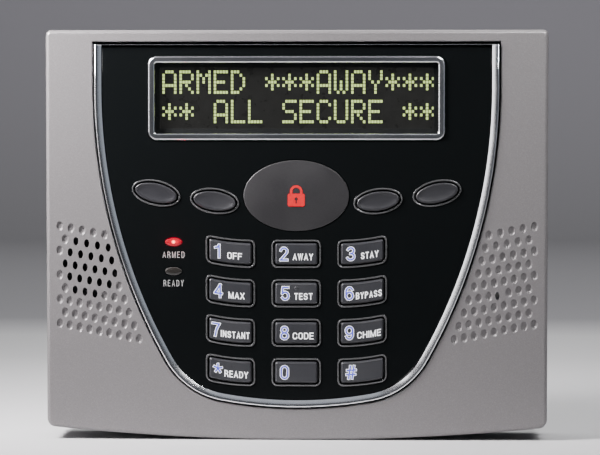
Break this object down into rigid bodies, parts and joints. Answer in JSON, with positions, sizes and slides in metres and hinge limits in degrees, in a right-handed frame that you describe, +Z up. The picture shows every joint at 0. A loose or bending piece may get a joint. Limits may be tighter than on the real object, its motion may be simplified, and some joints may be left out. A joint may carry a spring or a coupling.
{
  "type": "alarm keypad panel",
  "caption": "Wall-mounted alarm keypad with a metallic housing, black shield-shaped faceplate, character display, number keys, oval function keys and a voice grille.",
  "frame": {"origin": "the point of the back plate's wall face at the middle of the housing's width and height", "axes": "+Z up, +X to the right of a person facing the keypad, +Y from the front into the wall"},
  "size_m": [0.188, 0.0288, 0.1538],
  "materials": {
    "housing_paint": "fine metallic silver-grey paint on moulded plastic",
    "black_gloss": "polished piano black",
    "chrome": "bright chrome plate",
    "smoked_window": "smoked clear acrylic",
    "badge_grey": "satin dark grey",
    "key_grey": "satin charcoal with printed legends",
    "lens_red": "translucent red",
    "lens_dark": "translucent smoke",
    "led_body": "clear epoxy",
    "silicone": "translucent silicone",
    "black_plastic": "fine moulded texture",
    "lcd_glass": "polarised glass",
    "backlight": "light guide",
    "board_green": "solder mask",
    "chip_black": "moulded epoxy",
    "terminal_green": "moulded nylon",
    "screw_steel": "zinc plated",
    "speaker_metal": "pressed steel",
    "speaker_cone": "black film",
    "black_foam": "closed-cell foam and soft rubber",
    "capsule_metal": "bare",
    "plug_cream": "nylon",
    "lead_red": "wire insulation",
    "lead_black": "wire insulation"
  },
  "bodies": {
    "panel": {"front_housing": "housing_paint", "faceplate": "black_gloss", "chrome_trim": "chrome", "display_bezel": "chrome", "display_window": "smoked_window", "centre_badge": "badge_grey", "armed_lens": "lens_red", "ready_lens": "lens_dark", "armed_led": "led_body", "ready_led": "led_body", "keypad_mat": "silicone", "back_plate": "black_plastic", "lcd_frame": "black_plastic", "lcd_glass": "lcd_glass", "lcd_backlight": "backlight", "circuit_board": "board_green", "controller_chip": "chip_black", "terminal_block": "terminal_green", "board_screw_1": "screw_steel", "board_screw_2": "screw_steel", "board_screw_3": "screw_steel", "board_screw_4": "screw_steel", "terminal_screw_1": "screw_steel", "terminal_screw_2": "screw_steel", "terminal_screw_3": "screw_steel", "terminal_screw_4": "screw_steel", "speaker_frame": "speaker_metal", "speaker_magnet": "speaker_metal", "speaker_cone": "speaker_cone", "speaker_gasket": "black_foam", "microphone_boot": "black_foam", "microphone_capsule": "capsule_metal", "speaker_plug": "plug_cream", "speaker_lead_red": "lead_red", "speaker_lead_black": "lead_black"},
    "key_1": {"key_1": "key_grey"},
    "key_2": {"key_2": "key_grey"},
    "key_3": {"key_3": "key_grey"},
    "key_4": {"key_4": "key_grey"},
    "key_5": {"key_5": "key_grey"},
    "key_6": {"key_6": "key_grey"},
    "key_7": {"key_7": "key_grey"},
    "key_8": {"key_8": "key_grey"},
    "key_9": {"key_9": "key_grey"},
    "key_star": {"key_star": "key_grey"},
    "key_0": {"key_0": "key_grey"},
    "key_hash": {"key_hash": "key_grey"},
    "function_key_a": {"function_key_a": "key_grey"},
    "function_key_b": {"function_key_b": "key_grey"},
    "function_key_c": {"function_key_c": "key_grey"},
    "function_key_d": {"function_key_d": "key_grey"}
  },
  "joints": [
    {"name": "key_1_press", "type": "slide", "parent": "panel", "child": "key_1", "axis": [0, 1, 0], "range_m": [0, 0.001], "stiffness_N_per_m": 600, "springref_m": -0.0005},
    {"name": "key_2_press", "type": "slide", "parent": "panel", "child": "key_2", "axis": [0, 1, 0], "range_m": [0, 0.001], "stiffness_N_per_m": 600, "springref_m": -0.0005},
    {"name": "key_3_press", "type": "slide", "parent": "panel", "child": "key_3", "axis": [0, 1, 0], "range_m": [0, 0.001], "stiffness_N_per_m": 600, "springref_m": -0.0005},
    {"name": "key_4_press", "type": "slide", "parent": "panel", "child": "key_4", "axis": [0, 1, 0], "range_m": [0, 0.001], "stiffness_N_per_m": 600, "springref_m": -0.0005},
    {"name": "key_5_press", "type": "slide", "parent": "panel", "child": "key_5", "axis": [0, 1, 0], "range_m": [0, 0.001], "stiffness_N_per_m": 600, "springref_m": -0.0005},
    {"name": "key_6_press", "type": "slide", "parent": "panel", "child": "key_6", "axis": [0, 1, 0], "range_m": [0, 0.001], "stiffness_N_per_m": 600, "springref_m": -0.0005},
    {"name": "key_7_press", "type": "slide", "parent": "panel", "child": "key_7", "axis": [0, 1, 0], "range_m": [0, 0.001], "stiffness_N_per_m": 600, "springref_m": -0.0005},
    {"name": "key_8_press", "type": "slide", "parent": "panel", "child": "key_8", "axis": [0, 1, 0], "range_m": [0, 0.001], "stiffness_N_per_m": 600, "springref_m": -0.0005},
    {"name": "key_9_press", "type": "slide", "parent": "panel", "child": "key_9", "axis": [0, 1, 0], "range_m": [0, 0.001], "stiffness_N_per_m": 600, "springref_m": -0.0005},
    {"name": "key_star_press", "type": "slide", "parent": "panel", "child": "key_star", "axis": [0, 1, 0], "range_m": [0, 0.001], "stiffness_N_per_m": 600, "springref_m": -0.0005},
    {"name": "key_0_press", "type": "slide", "parent": "panel", "child": "key_0", "axis": [0, 1, 0], "range_m": [0, 0.001], "stiffness_N_per_m": 600, "springref_m": -0.0005},
    {"name": "key_hash_press", "type": "slide", "parent": "panel", "child": "key_hash", "axis": [0, 1, 0], "range_m": [0, 0.001], "stiffness_N_per_m": 600, "springref_m": -0.0005},
    {"name": "function_key_a_press", "type": "slide", "parent": "panel", "child": "function_key_a", "axis": [0, 1, 0], "range_m": [0, 0.001], "stiffness_N_per_m": 600, "springref_m": -0.0005},
    {"name": "function_key_b_press", "type": "slide", "parent": "panel", "child": "function_key_b", "axis": [0, 1, 0], "range_m": [0, 0.001], "stiffness_N_per_m": 600, "springref_m": -0.0005},
    {"name": "function_key_c_press", "type": "slide", "parent": "panel", "child": "function_key_c", "axis": [0, 1, 0], "range_m": [0, 0.001], "stiffness_N_per_m": 600, "springref_m": -0.0005},
    {"name": "function_key_d_press", "type": "slide", "parent": "panel", "child": "function_key_d", "axis": [0, 1, 0], "range_m": [0, 0.001], "stiffness_N_per_m": 600, "springref_m": -0.0005}
  ]
}
